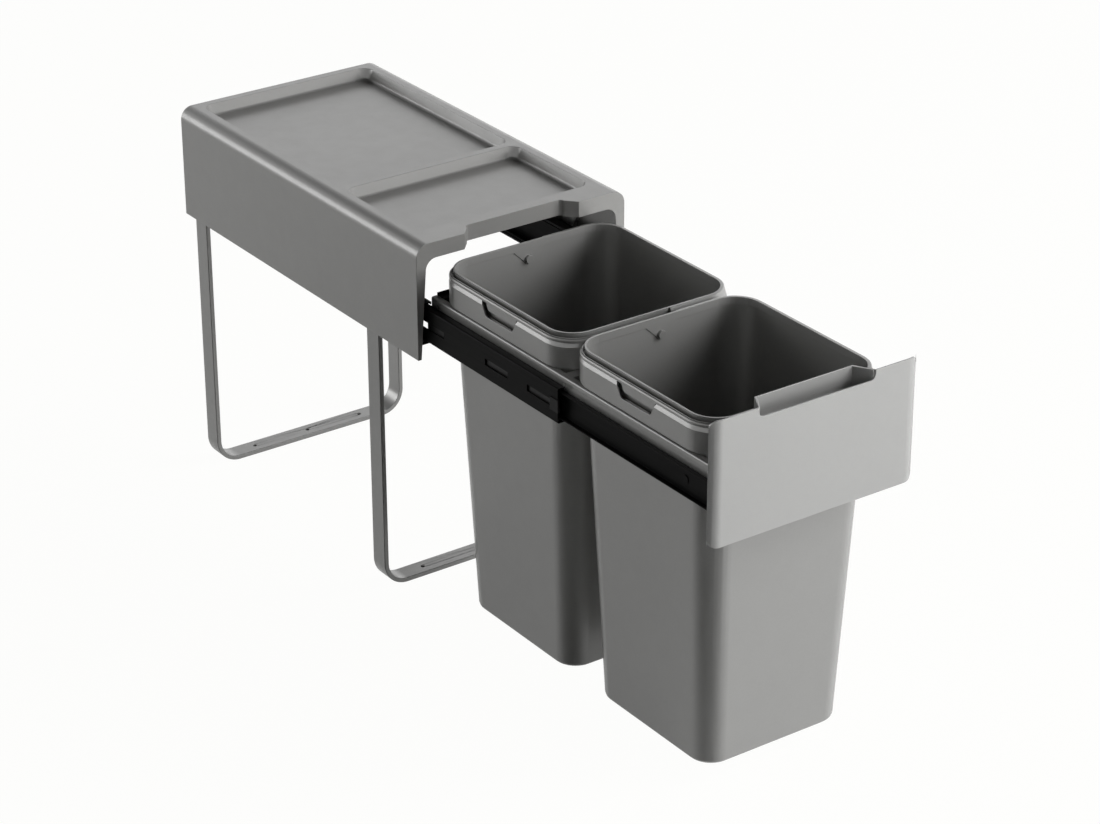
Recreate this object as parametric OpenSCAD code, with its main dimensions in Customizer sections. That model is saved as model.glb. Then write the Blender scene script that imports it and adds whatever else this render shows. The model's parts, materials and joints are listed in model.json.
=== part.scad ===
// Pull-out bin frame for a 300 mm kitchen cabinet, drawn open: two bins on telescopic slides under a cover.
// X is the width, -Y is the front, Z is up. The origin is on the cabinet floor, at the rear leg's middle screw.

/* [Cover] */
// Outside width of the cover
cover_w = 250; // [236:1:280]
// How much deeper the cover is than a slide
cover_over = 11; // [9:0.5:13]
// Height of the cover's rim above the cabinet floor
cover_h = 414; // [408:1:440]
// Height of the cover's side walls
cover_side_h = 122; // [112:1:130]
// Radius of the long top edges
cover_edge_r = 14; // [10:1:18]
// Thickness of the side walls
cover_wall = 2.3; // [1.8:0.1:2.4]
// Thickness of the top
cover_top_t = 2.5; // [2:0.1:3]
// Depth of the two trays in the top
tray_depth = 12; // [8:0.5:12.5]
// Fillet between a tray's wall and its floor
tray_fillet = 2.5; // [1.5:0.5:7.5]
// Corner radius of the trays
tray_corner_r = 12; // [9:1:18]
// Rim beside the trays
tray_side_rim = 20.5; // [18:0.5:26]
// Rim behind the rear tray
tray_back_rim = 10; // [6:0.5:16]
// Rim in front of the front tray
tray_front_rim = 31; // [26:0.5:40]
// Depth of the rear tray, front to back
rear_tray_d = 277; // [240:1:300]
// Ridge between the two trays
tray_ridge = 9.5; // [6:0.5:14]
// Height of the front lip
front_lip_h = 17; // [15:0.5:20]
// Thickness of the front lip and of the wall round the notch
front_lip_t = 2.5; // [2:0.1:3]
// Width of the front posts at the lip
post_top_w = 11; // [8:0.5:13]
// Width of the front posts at their foot
post_foot_w = 4; // [3:0.5:6]
// Corner radius of the front opening
front_opening_r = 12; // [6:1:16]
// Width of the handle notch at the front edge
notch_w = 139; // [120:1:150]
// Width of the handle notch at its back
notch_back_w = 117; // [100:1:119]
// Depth of the handle notch
notch_d = 16; // [15:0.5:20]
// Corner radius at the back of the notch
notch_r = 5; // [2:0.5:7]

/* [Legs] */
// Width of the flat bar
leg_bar_w = 22; // [16:1:26]
// Thickness of the flat bar
leg_bar_t = 5; // [4:0.5:5.5]
// Outer radius of the bar's bends
leg_bend_r = 28; // [20:1:34]
// Distance from the cover's rear edge to the rear leg
rear_leg_inset = 16.7; // [12:0.1:30]
// Distance between the legs, centre to centre
leg_pitch = 344.4; // [320:0.1:360]
// Play between the legs and the cover's walls
leg_play = 0.2; // [0.2:0.05:0.4]
// Diameter of the floor screw holes
floor_hole_d = 4.5; // [3.5:0.1:6]
// Distance between neighbouring floor screw holes
floor_hole_pitch = 69; // [50:1:80]
// Diameter of the catches that hold the cover on the legs
catch_d = 5.6; // [4:0.1:7]
// Height of the catches below the cover's rim
catch_drop = 30; // [26:1:32]

/* [Slides] */
// Length of a slide
slide_len = 449; // [400:1:500]
// Height of the cabinet member
slide_h = 44; // [42:0.5:45]
// Depth of the slides' centre line below the cover's rim
slide_drop = 87; // [86:0.5:88]
// Overall thickness of a slide
slide_t = 12.7; // [12.7:0.1:13.2]
// How much farther the drawer runs out than a slide is long
travel_over = 1; // [-15:1:1]
// Thickness of the slides' sheet
slide_sheet = 1.2; // [1:0.1:1.3]
// Height of the gap in which the balls run
race_gap = 2.8; // [2.7:0.1:3]
// Play between a ball and its races
ball_play = 0.3; // [0.25:0.05:0.35]
// Number of balls along each race
ball_count = 10; // [4:1:12]
// Length of a ball cage
cage_len = 220; // [160:5:220]
// Diameter of the slide rivets
rivet_d = 5; // [4:0.1:5.5]

/* [Carrier] */
// Depth of the bins' ledge below the cover's rim
ledge_drop = 59.8; // [59:0.1:60]
// Thickness of the carrier's sheet
carrier_t = 1.8; // [1.5:0.1:1.9]
// Width of the ledge, outside face to inner edge
ledge_w = 6.6; // [6.4:0.1:6.8]
// Height of the carrier's side rails
side_rail_h = 42; // [38:1:44]
// How much longer the carrier's side rails are than a slide
rail_over = 8.5; // [7:0.5:9.5]
// Width of the bar between the bins
middle_bar_w = 11.4; // [8:0.2:11.6]
// Height of the rear bar
rear_bar_h = 25; // [20:1:34]
// Height of the front bar
front_bar_h = 54; // [46:1:56]

/* [Front panel] */
// Height of the panel
panel_h = 126; // [120:1:130]
// Drop of the panel's top edge below the cover's rim
panel_drop = 7; // [6:0.5:10]
// Distance from the cover's side to the panel's flat part
panel_flat_in = 19.5; // [18:0.5:22]
// Radius of the panel's swept-back sides
panel_side_r = 18; // [14:1:24]
// Angle through which the sides are swept back
panel_side_angle = 45; // [30:1:60]
// Thickness of the panel
panel_t = 1.8; // [1.5:0.1:2.2]
// Corner radius of the panel
panel_corner_r = 9; // [5:0.5:14]
// Gap between the cover and the panel's swept-back edges when closed
panel_edge_gap = 0.5; // [0.3:0.1:1.2]
// Width of the handle pocket at the panel
pocket_w = 136; // [118:1:137]
// Width of the handle pocket at its back
pocket_back_w = 112; // [100:1:113]
// Depth of the handle pocket, front to back
pocket_d = 20.5; // [16:0.5:20.5]
// Height of the handle pocket
pocket_h = 34; // [24:1:36]
// Drop of the pocket's front edge below the panel's top
pocket_lip_drop = 9.5; // [6:0.5:14]
// Diameter of the panel's screws
panel_screw_d = 4; // [3:0.1:5]

/* [Bins] */
// Gap between a bin's skirt and the outside of the carrier
bin_side_gap = 1.3; // [1:0.1:3]
// Gap between the rear bin's skirt and the carrier's back
bin_back_gap = 6.1; // [5.6:0.1:7]
// Gap between the front bin's skirt and the front bar
bin_front_gap = 12; // [11:0.1:14]
// Corner radius of a bin's opening
bin_corner_r = 27; // [20:1:34]
// Gap between the bins and the cabinet floor
bin_floor_gap = 18; // [12:1:40]
// Drop of the bins' rims below the cover's rim
bin_rim_drop = 24; // [23:0.5:25]
// How much each side draws in towards the foot
bin_taper = 16.4; // [10:0.2:24]
// Thickness of a bin's wall
bin_wall = 2; // [1.6:0.1:2]
// Step in the wall below the rim's inner band
band_step = 0.8; // [0.3:0.1:0.8]
// Height of the rim's inner band
band_h = 8; // [5:0.5:9]
// Overhang of the rim's skirt beyond the opening
skirt_out = 6.4; // [6.35:0.05:6.5]
// Thickness of the skirt
skirt_t = 1.6; // [1.4:0.1:1.6]
// Play between the two bins' skirts
bin_play = 1; // [0.6:0.1:1.6]
// Length of the finger slot at its top
slot_w = 60; // [40:1:80]
// Length of the finger slot at its foot
slot_foot_w = 44; // [30:1:58]
// Height of the finger slot below the shelf
slot_h = 14.5; // [10:0.5:18]

/* [Bin handles] */
// Width of the handle's ring
ring_w = 2.4; // [2:0.1:2.5]
// Height of the handle's ring
ring_h = 4.7; // [3.5:0.1:6]
// Distance from the opening's edge to the ring
ring_in = 3.8; // [3.75:0.05:3.9]
// Sideways offset of the handle's pivots
pivot_x = 2; // [0:0.5:8]
// Drop of the pivots below the rim
pivot_drop = 18; // [17:0.5:20]
// Diameter of the pivot pins
pin_d = 8.6; // [5:0.1:8.8]
// Play between a pivot pin and its hole, on the radius
pin_play = 0.05; // [0.03:0.01:0.08]
// Thickness of the handle's arms
arm_t = 2; // [1.6:0.1:2]

/* [Hidden] */
$fn = 48;
eps = 0.01;

// Cover
cover_d = slide_len + cover_over;
cover_half = cover_w / 2;
cover_inner_half = cover_half - cover_wall;
cover_foot_z = cover_h - cover_side_h;
rear_y = rear_leg_inset + leg_bar_w / 2;
front_y = rear_y - cover_d;
top_under_z = cover_h - cover_top_t;
inner_edge_r = cover_edge_r - cover_wall;
tray_half_w = cover_half - tray_side_rim;
tray_floor_z = cover_h - tray_depth;
tray_under_z = tray_floor_z - cover_top_t;
rear_tray_back = rear_y - tray_back_rim;
rear_tray_front = rear_tray_back - rear_tray_d;
front_tray_back = rear_tray_front - tray_ridge;
front_tray_front = front_y + tray_front_rim;
lip_under_z = cover_h - front_lip_h;
seat_gap = 0.3;

// Legs
leg_half = cover_inner_half - leg_play;
leg_inner_half = leg_half - leg_bar_t;
rear_leg_y = 0;
front_leg_y = -leg_pitch;
leg_top_gap = 18;
leg_top_z = cover_h - leg_top_gap;
catch_z = cover_h - catch_drop;
catch_play = 0.2;
guide_t = 2;
guide_pitch = leg_bar_w / 2 + seat_gap + guide_t / 2;
guide_reach = leg_bar_t - 0.3;
guide_h = 40;

// Slides: u is the distance from the middle of the unit
slide_axis_z = cover_h - slide_drop;
slide_travel = slide_len + travel_over;
slide_out = leg_inner_half;
slide_in = slide_out - slide_t;
middle_h = slide_h - 2 * slide_sheet - 2 * race_gap;
drawer_member_h = middle_h - 2 * slide_sheet - 2 * race_gap;
cabinet_in = slide_in + 0.5;
middle_out = slide_out - slide_sheet - 2.5;
drawer_flange_out = middle_out - slide_sheet - 2;
member_bend_r = 1.6;
member_lip = 1.6;
member_play = 0.8;
ball_d = race_gap - 2 * ball_play;
end_tab_y = rear_y - 1;
end_tab_h = 16;
buffer_t = 3.5;
buffer_h = 14;
slide_back_y = end_tab_y - slide_sheet - buffer_t - seat_gap;
slide_front_y = slide_back_y - slide_len;
middle_shift = slide_travel / 2;
outer_cage_shift = slide_travel / 4;
inner_cage_shift = slide_travel * 3 / 4;
cage_t = 0.7;
cage_mid_y = slide_back_y - slide_len / 2;
outer_ball_u = middle_out - 4;
inner_ball_u = slide_in + 3.4;
rivet_head_d = rivet_d + 4;
rivet_head_t = 0.7;
rivet_play = 0.1;
rivet_drop = 11;
slot_starts = [12, 82, 191];
slot_len = 38;
member_slot_h = 7;
stop_side = 13;
stop_t = 0.9;
outer_strip_z = middle_h / 2 + race_gap / 2 + cage_t / 2;
inner_strip_z = drawer_member_h / 2 + race_gap / 2 + cage_t / 2;
strip_reach = 2.4;
outer_cage_y = cage_mid_y - outer_cage_shift;
inner_cage_y = cage_mid_y - inner_cage_shift;

// Carrier, at the end of its travel
side_rail_len = slide_len + rail_over;
ledge_z = cover_h - ledge_drop;
carrier_half = slide_in;
ledge_half = carrier_half - ledge_w;
carrier_inner_half = carrier_half - carrier_t;
carrier_back_gap = 4.5;
carrier_back_y = rear_y - carrier_back_gap - slide_travel;
carrier_front_y = carrier_back_y - side_rail_len;
ledge_foot_z = ledge_z - carrier_t;
carrier_rivet_in = 29;
carrier_rivet_ys = [40, 230, slide_len - carrier_rivet_in];
rear_bar_rise = 2.8;
frame_rivet_d = 4;
bar_tab_len = 16;
bar_tab_h = 12;
bar_bend_t = 0.8;
frame_tab_z = ledge_foot_z - bar_tab_h / 2 - bar_bend_t / 2;
frame_tab_half = carrier_inner_half - carrier_t;
rear_tab_y = carrier_back_y - carrier_t - bar_tab_len / 2;
front_bar_in = 6;
front_bar_y = carrier_front_y + front_bar_in;
front_tab_y = front_bar_y + carrier_t + bar_tab_len / 2;
rear_bin_back_y = carrier_back_y - bin_back_gap;
ledge_play = 0.3;

// Bins, at the end of their travel
bin_rim_z = cover_h - bin_rim_drop;
bin_h = bin_rim_z - bin_floor_gap;
bins_len = side_rail_len - bin_back_gap - bin_front_gap - front_bar_in - bin_play;
bin_d = bins_len / 2 - 2 * skirt_out;
bin_half_w = carrier_half - bin_side_gap - skirt_out;
bin_half_d = bin_d / 2;
bin_foot_z = bin_floor_gap;
taper_rate = bin_taper / bin_h;
ledge_inset = (bin_rim_z - ledge_z) * taper_rate;
bin_pitch = bin_d + 2 * skirt_out + bin_play;
rear_bin_y = rear_bin_back_y - skirt_out - bin_half_d;
front_bin_y = rear_bin_y - bin_pitch;
middle_bar_y = (rear_bin_y + front_bin_y) / 2;
rear_ledge_w = carrier_back_y - rear_bin_y - bin_half_d - bin_wall + ledge_inset - ledge_play;
front_ledge_w = front_bin_y - bin_half_d - bin_wall + ledge_inset - ledge_play - front_bar_y;
band_foot_z = bin_rim_z - band_h;
shelf_drop = 9;
shelf_z = bin_rim_z - shelf_drop;
shelf_t = 1.4;
skirt_foot_z = ledge_z + 2.1;
skirt_in = skirt_out - skirt_t;
foot_out = skirt_out - 0.8;
chamfer_w = skirt_t - 0.1;
chamfer_h = 4.2;
bevel_w = 2.8;
bevel_h = 11;
slot_in = 3.2;
slot_r = 4;
flange_t = 1.6;
ring_end_in = 14;
bevel_start_in = 19;
gap_left_x = pivot_x - ring_end_in;
gap_right_x = pivot_x + bevel_start_in;
v_top_half = 18.5;
v_foot_half = 5;
v_foot_r = 5.8;
sill_t = 1.2;

// Bin handles
ring_foot_z = shelf_z + seat_gap;
ring_top_z = ring_foot_z + ring_h;
ring_step_w = 0.8;
ring_step_h = 0.8;
ring_groove_w = 0.6;
ring_groove_z = ring_top_z - 2.2;
ring_slope = 1.3;
pivot_z = bin_rim_z - pivot_drop;
arm_in = bin_wall + 0.5;
arm_end_r = 5.6;
arm_top_z = ring_top_z - ring_step_h - ring_slope;
pin_proud = 3.6;
tab_r = 3.5;
tab_in = 3.9;
tab_t = 0.9;
tab_rear_play = 6;
tab_front_play = 1.1;
tab_rise = 6.5;
tab_foot_z = shelf_z - slot_h + tab_rise;

// Front panel and front bar
panel_sweep = panel_side_r - (panel_side_r - panel_t) * cos(panel_side_angle);
panel_front_y = front_y - panel_edge_gap - panel_sweep - slide_travel;
panel_back_y = panel_front_y + panel_t;
panel_top_z = cover_h - panel_drop;
panel_foot_z = panel_top_z - panel_h;
panel_flat_half = cover_half - panel_flat_in;
boss_d = 10;
mouth_r = 5.5;
panel_screw_x = 80;
panel_screw_rise = 12;
panel_screw_zs = [slide_axis_z - panel_screw_rise, slide_axis_z + panel_screw_rise];
panel_screw_reach = 5;
screw_head_t = 2.2;

cover_grey = "#7a7a77";
bin_grey = "#888885";
panel_grey = "#b8b8b6";
leg_grey = "#a2a29f";
rail_grey = "#80807d";
slide_black = "#262625";
rubber_black = "#1a1a1a";
steel = "#c4c4c4";

// Helpers

// Extrudes an X-Z outline along Y, from y1 towards the front to y0
module along_y(y0, y1) {
  translate([0, y1, 0])
    rotate([90, 0, 0])
      linear_extrude(y1 - y0)
        children();
}

// Extrudes a Y-Z outline along X
module along_x(x0, x1) {
  translate([x0, 0, 0])
    rotate([90, 0, 90])
      linear_extrude(x1 - x0)
        children();
}

// Repeats a right-hand shape on the left or the right
module on_side(side) {
  if (side > 0) children();
  else mirror([1, 0, 0]) children();
}

// Rounded rectangle made of squares and true circles
module round_rect(hx, hy, r) {
  square([2 * (hx - r), 2 * hy], center = true);
  square([2 * hx, 2 * (hy - r)], center = true);
  for (sx = [-1, 1], sy = [-1, 1])
    translate([sx * (hx - r), sy * (hy - r)])
      circle(r);
}

// Corner of a rim: the child outline has its origin on the opening's edge
module rim_corner(hx, hy, r, sx, sy) {
  turn = sx > 0 ? (sy > 0 ? 0 : 270) : (sy > 0 ? 90 : 180);
  translate([sx * (hx - r), sy * (hy - r), 0])
    rotate([0, 0, turn])
      rotate_extrude(angle = 90)
        translate([r, 0])
          children();
}

// Straight run of a rim on the left or the right
module rim_side(hx, hy, r, sx) {
  on_side(sx)
    translate([hx, 0, 0])
      along_y(r - hy, hy - r)
        children();
}

// Straight runs of a rim at the front and the back, between two places in X
module rim_ends(hy, x0, x1) {
  for (sy = [-1, 1])
    mirror([0, sy < 0 ? 1 : 0, 0])
      translate([0, hy, 0])
        along_x(x0, x1)
          children();
}

// Cover

module cover_outline() {
  translate([-cover_half, cover_foot_z])
    square([cover_w, cover_side_h - cover_edge_r]);
  translate([-cover_half + cover_edge_r, cover_foot_z])
    square([cover_w - 2 * cover_edge_r, cover_side_h]);
  for (s = [-1, 1])
    translate([s * (cover_half - cover_edge_r), cover_h - cover_edge_r])
      circle(cover_edge_r);
}

module cover_hollow_outline() {
  translate([-cover_inner_half, cover_foot_z - 1])
    square([2 * cover_inner_half, cover_side_h + 1 - cover_top_t - inner_edge_r]);
  translate([-cover_inner_half + inner_edge_r, cover_foot_z - 1])
    square([2 * (cover_inner_half - inner_edge_r), cover_side_h + 1 - cover_top_t]);
  for (s = [-1, 1])
    translate([s * (cover_inner_half - inner_edge_r), top_under_z - inner_edge_r])
      circle(inner_edge_r);
}

// Front opening: narrow at the lip, wider at the foot of the posts
module front_opening_outline() {
  top_half = cover_half - post_top_w;
  foot_half = cover_half - post_foot_w;
  r = front_opening_r;
  polygon([
    [-foot_half, cover_foot_z - 1], [foot_half, cover_foot_z - 1],
    [top_half, lip_under_z - r], [top_half - r, lip_under_z],
    [r - top_half, lip_under_z], [-top_half, lip_under_z - r]
  ]);
  for (s = [-1, 1])
    translate([s * (top_half - r), lip_under_z - r])
      circle(r);
}

// Profile of a tub's side: r from the corner's centre to the wall, with a fillet f down to the floor
module tub_profile(r, f, h) {
  square([r - f, h]);
  translate([r - f, f]) {
    square([f, h - f]);
    intersection() {
      circle(f);
      translate([0, -f])
        square(f);
    }
  }
}

// Tray hollow, or with grow its outer tub, from its floor at z0 up to z1
module tray_form(y0, y1, grow, z0, z1) {
  half_w = tray_half_w + grow;
  half_d = (y1 - y0) / 2 + grow;
  r = tray_corner_r + grow;
  f = tray_fillet + grow;
  h = z1 - z0;
  translate([0, (y0 + y1) / 2, z0]) {
    translate([r - half_w, r - half_d, 0])
      cube([2 * (half_w - r), 2 * (half_d - r), h]);
    for (sx = [-1, 1]) {
      for (sy = [-1, 1])
        rim_corner(half_w, half_d, r, sx, sy)
          translate([-r, 0])
            tub_profile(r, f, h);
      rim_side(half_w, half_d, r, sx)
        translate([-r, 0])
          tub_profile(r, f, h);
    }
    rim_ends(half_d, r - half_w, half_w - r)
      translate([-r, 0])
        tub_profile(r, f, h);
  }
}

// Plan of the handle notch, with its walls moved out by grow
module notch_plan(grow) {
  back_y = front_y + notch_d + grow;
  back_half = notch_back_w / 2 + grow;
  front_half = notch_w / 2 + grow;
  r = notch_r + grow;
  polygon([
    [-front_half, front_y - 1], [front_half, front_y - 1],
    [back_half, back_y - r], [back_half - r, back_y],
    [r - back_half, back_y], [-back_half, back_y - r]
  ]);
  for (s = [-1, 1])
    translate([s * (back_half - r), back_y - r])
      circle(r);
}

// Guides and catches that hold the cover on one side of a leg
module leg_guides(leg_y) {
  for (side = [-1, 1])
    on_side(side) {
      for (s = [-1, 1])
        translate([cover_inner_half - guide_reach, leg_y + s * guide_pitch - guide_t / 2, leg_top_z - guide_h])
          cube([guide_reach + eps, guide_t, guide_h]);
      translate([cover_inner_half + eps, leg_y, catch_z])
        rotate([0, -90, 0])
          cylinder(h = leg_bar_t + leg_play, d = catch_d);
    }
}

module canopy_cover() {
  color(cover_grey) {
    difference() {
      union() {
        difference() {
          along_y(front_y, rear_y)
            cover_outline();
          along_y(front_y - 1, rear_y + 1)
            cover_hollow_outline();
        }
        difference() {
          along_y(front_y, front_y + front_lip_t)
            cover_outline();
          along_y(front_y - 1, front_y + front_lip_t + 1)
            front_opening_outline();
        }
        tray_form(rear_tray_front, rear_tray_back, cover_top_t, tray_under_z, top_under_z + eps);
        tray_form(front_tray_front, front_tray_back, cover_top_t, tray_under_z, top_under_z + eps);
        intersection() {
          translate([0, 0, lip_under_z])
            linear_extrude(front_lip_h)
              notch_plan(front_lip_t);
          along_y(front_y, rear_y)
            cover_outline();
        }
      }
      tray_form(rear_tray_front, rear_tray_back, 0, tray_floor_z, cover_h + 1);
      tray_form(front_tray_front, front_tray_back, 0, tray_floor_z, cover_h + 1);
      translate([0, 0, lip_under_z - 1])
        linear_extrude(front_lip_h + 2)
          notch_plan(0);
    }
    leg_guides(rear_leg_y);
    leg_guides(front_leg_y);
  }
}

// Legs

// Flat bar bent to a U: outline seen from the front
module leg_outline() {
  difference() {
    union() {
      translate([-leg_half, leg_bend_r])
        square([2 * leg_half, leg_top_z - leg_bend_r]);
      translate([leg_bend_r - leg_half, 0])
        square([2 * (leg_half - leg_bend_r), leg_bend_r + 1]);
      for (s = [-1, 1])
        translate([s * (leg_half - leg_bend_r), leg_bend_r])
          circle(leg_bend_r);
    }
    translate([-leg_inner_half, leg_bend_r])
      square([2 * leg_inner_half, leg_top_z]);
    translate([leg_bend_r - leg_half, leg_bar_t])
      square([2 * (leg_half - leg_bend_r), leg_top_z]);
    for (s = [-1, 1])
      translate([s * (leg_half - leg_bend_r), leg_bend_r])
        circle(leg_bend_r - leg_bar_t);
  }
}

module leg(leg_y) {
  difference() {
    along_y(leg_y - leg_bar_w / 2, leg_y + leg_bar_w / 2)
      leg_outline();
    for (i = [-1, 0, 1])
      translate([i * floor_hole_pitch, leg_y, -1])
        cylinder(h = leg_bar_t + 2, d = floor_hole_d);
    for (side = [-1, 1])
      on_side(side) {
        translate([leg_half + 1, leg_y, catch_z])
          rotate([0, -90, 0])
            cylinder(h = leg_bar_t + 2, d = catch_d + 2 * catch_play);
        for (s = [-1, 1])
          translate([leg_half + 1, leg_y, slide_axis_z + s * rivet_drop])
            rotate([0, -90, 0])
              cylinder(h = leg_bar_t + 2, d = rivet_d + 2 * rivet_play);
      }
  }
}

module rear_leg() {
  color(leg_grey)
    leg(rear_leg_y);
}

module front_leg() {
  color(leg_grey)
    leg(front_leg_y);
}

// Slides

// C-shaped member: its web stands at u1, its flanges reach to u0 and turn in by a small lip
module member_outline(u0, u1, h, lip) {
  r = member_bend_r;
  bottom = slide_axis_z - h / 2;
  difference() {
    union() {
      translate([u0, bottom])
        square([u1 - u0 - r, h]);
      translate([u0, bottom + r])
        square([u1 - u0, h - 2 * r]);
      for (z = [bottom + r, bottom + h - r])
        translate([u1 - r, z])
          circle(r);
    }
    translate([u0 - 1, bottom + slide_sheet + lip])
      square([u1 - u0 + 1 - slide_sheet, h - 2 * slide_sheet - 2 * lip]);
    translate([u0 + slide_sheet, bottom + slide_sheet])
      square([u1 - u0 - 2 * slide_sheet, h - 2 * slide_sheet]);
  }
}

module cabinet_member() {
  difference() {
    union() {
      along_y(slide_front_y, end_tab_y)
        member_outline(cabinet_in, slide_out, slide_h, member_lip);
      translate([slide_in + slide_sheet, end_tab_y - slide_sheet, slide_axis_z - end_tab_h / 2])
        cube([slide_t - slide_sheet - eps, slide_sheet, end_tab_h]);
    }
    for (leg_y = [rear_leg_y, front_leg_y], s = [-1, 1])
      translate([slide_out + 1, leg_y, slide_axis_z + s * rivet_drop])
        rotate([0, -90, 0])
          cylinder(h = slide_sheet + 2, d = rivet_d + 2 * rivet_play);
  }
}

module middle_member() {
  y0 = slide_front_y - middle_shift;
  difference() {
    along_y(y0, y0 + slide_len)
      member_outline(slide_in + member_play, middle_out, middle_h, 0);
    for (start = slot_starts)
      translate([middle_out - slide_sheet - 1, y0 + start, slide_axis_z - member_slot_h / 2])
        cube([slide_sheet + 2, slot_len, member_slot_h]);
  }
}

module drawer_member() {
  y0 = slide_front_y - slide_travel;
  difference() {
    translate([slide_in + drawer_flange_out, 0, 0])
      mirror([1, 0, 0])
        along_y(y0, y0 + slide_len)
          member_outline(slide_in, drawer_flange_out, drawer_member_h, 0);
    for (d = carrier_rivet_ys)
      translate([slide_in - 1, y0 + d, slide_axis_z])
        rotate([0, 90, 0])
          cylinder(h = slide_sheet + 2, d = rivet_d + 2 * rivet_play);
  }
}

// Ball cage: a web with two strips, and a pocket for each ball
module ball_cage(web_u, strip_in, strip_z, mid_y, ball_u) {
  difference() {
    along_y(mid_y - cage_len / 2, mid_y + cage_len / 2) {
      translate([web_u - cage_t, slide_axis_z - strip_z])
        square([cage_t, 2 * strip_z]);
      for (s = [-1, 1])
        translate([strip_in, slide_axis_z + s * (strip_z - cage_t / 2) - cage_t / 2])
          square([web_u - strip_in, cage_t]);
    }
    ball_places(mid_y)
      for (s = [-1, 1])
        translate([ball_u, 0, slide_axis_z + s * (strip_z - cage_t / 2)])
          cylinder(h = 3 * cage_t, d = ball_d + 2 * ball_play, center = true);
  }
}

module ball_places(mid_y) {
  step = cage_len / (ball_count + 1);
  for (i = [1 : ball_count])
    translate([0, mid_y - cage_len / 2 + i * step, 0])
      children();
}

module ball_rows(strip_z, mid_y, ball_u) {
  ball_places(mid_y)
    for (side = [-1, 1], s = [-1, 1])
      translate([side * ball_u, 0, slide_axis_z + s * (strip_z - cage_t / 2)])
        sphere(d = ball_d, $fn = 24);
}

module outer_ball_cage() {
  web_u = (slide_out - slide_sheet - rivet_head_t + middle_out) / 2 + cage_t / 2;
  ball_cage(web_u, outer_ball_u - strip_reach, outer_strip_z, outer_cage_y, outer_ball_u);
}

module inner_ball_cage() {
  web_u = (middle_out - slide_sheet + drawer_flange_out) / 2 + cage_t / 2;
  ball_cage(web_u, inner_ball_u - strip_reach, inner_strip_z, inner_cage_y, inner_ball_u);
}

module left_cabinet_member() {
  color(slide_black)
    on_side(-1) cabinet_member();
}

module right_cabinet_member() {
  color(slide_black)
    cabinet_member();
}

module left_middle_member() {
  color(slide_black)
    on_side(-1) middle_member();
}

module right_middle_member() {
  color(slide_black)
    middle_member();
}

module left_drawer_member() {
  color(slide_black)
    on_side(-1) drawer_member();
}

module right_drawer_member() {
  color(slide_black)
    drawer_member();
}

module left_outer_ball_cage() {
  color(steel)
    on_side(-1) outer_ball_cage();
}

module right_outer_ball_cage() {
  color(steel)
    outer_ball_cage();
}

module left_inner_ball_cage() {
  color(steel)
    on_side(-1) inner_ball_cage();
}

module right_inner_ball_cage() {
  color(steel)
    inner_ball_cage();
}

module outer_balls() {
  color(steel)
    ball_rows(outer_strip_z, outer_cage_y, outer_ball_u);
}

module inner_balls() {
  color(steel)
    ball_rows(inner_strip_z, inner_cage_y, inner_ball_u);
}

// End stop clipped on the front end of the middle member
module middle_stop() {
  y0 = slide_front_y - middle_shift;
  translate([middle_out, y0 - slide_sheet, slide_axis_z - stop_side / 2])
    cube([stop_t, stop_side, stop_side]);
  translate([middle_out - slide_sheet, y0 - slide_sheet, slide_axis_z - stop_side / 2])
    cube([slide_sheet + eps, slide_sheet, stop_side]);
}

module left_middle_stop() {
  color(slide_black)
    on_side(-1) middle_stop();
}

module right_middle_stop() {
  color(slide_black)
    middle_stop();
}

// Rubber buffer at the rear end of the cabinet member
module rear_buffer() {
  translate([cabinet_in + slide_sheet, end_tab_y - slide_sheet - buffer_t, slide_axis_z - buffer_h / 2])
    cube([slide_t - 2 * slide_sheet - 1, buffer_t, buffer_h]);
}

module left_rear_buffer() {
  color(rubber_black)
    on_side(-1) rear_buffer();
}

module right_rear_buffer() {
  color(rubber_black)
    rear_buffer();
}

// Rivets that hold the cabinet members to the legs
module leg_rivets() {
  color(steel)
    for (side = [-1, 1], leg_y = [rear_leg_y, front_leg_y], s = [-1, 1])
      on_side(side)
        translate([slide_out - slide_sheet - rivet_head_t, leg_y, slide_axis_z + s * rivet_drop])
          rotate([0, 90, 0]) {
            cylinder(h = rivet_head_t, d = rivet_head_d);
            cylinder(h = rivet_head_t + slide_sheet + leg_bar_t, d = rivet_d);
          }
}

// Rivets that hold the drawer members to the side rails
module carrier_rivets() {
  color(slide_black)
    for (side = [-1, 1], d = carrier_rivet_ys)
      on_side(side)
        translate([carrier_inner_half, slide_front_y - slide_travel + d, slide_axis_z])
          rotate([0, 90, 0]) {
            translate([0, 0, -rivet_head_t])
              cylinder(h = rivet_head_t, d = rivet_head_d);
            cylinder(h = carrier_t + slide_sheet, d = rivet_d);
            translate([0, 0, carrier_t + slide_sheet])
              cylinder(h = rivet_head_t, d = rivet_head_d);
          }
}

// Carrier frame

// Side rail: a tall web with the bins' ledge turned in at its top
module side_rail() {
  difference() {
    along_y(carrier_front_y, carrier_back_y) {
      translate([carrier_inner_half, ledge_z - side_rail_h])
        square([carrier_t, side_rail_h - carrier_t]);
      translate([ledge_half, ledge_foot_z])
        square([ledge_w - carrier_t, carrier_t]);
      translate([carrier_inner_half, ledge_foot_z])
        intersection() {
          circle(carrier_t);
          square(carrier_t);
        }
    }
    for (d = carrier_rivet_ys)
      translate([carrier_inner_half - 1, slide_front_y - slide_travel + d, slide_axis_z])
        rotate([0, 90, 0])
          cylinder(h = carrier_t + 2, d = rivet_d + 2 * rivet_play);
    frame_rivet_places()
      cylinder(h = carrier_t + 2, d = frame_rivet_d + 2 * rivet_play);
  }
}

// Places of the rivets that join the bars' tabs to the right rail
module frame_rivet_places() {
  for (y = [rear_tab_y, middle_bar_y, front_tab_y])
    translate([carrier_inner_half - 1, y, frame_tab_z])
      rotate([0, 90, 0])
        children();
}

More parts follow.
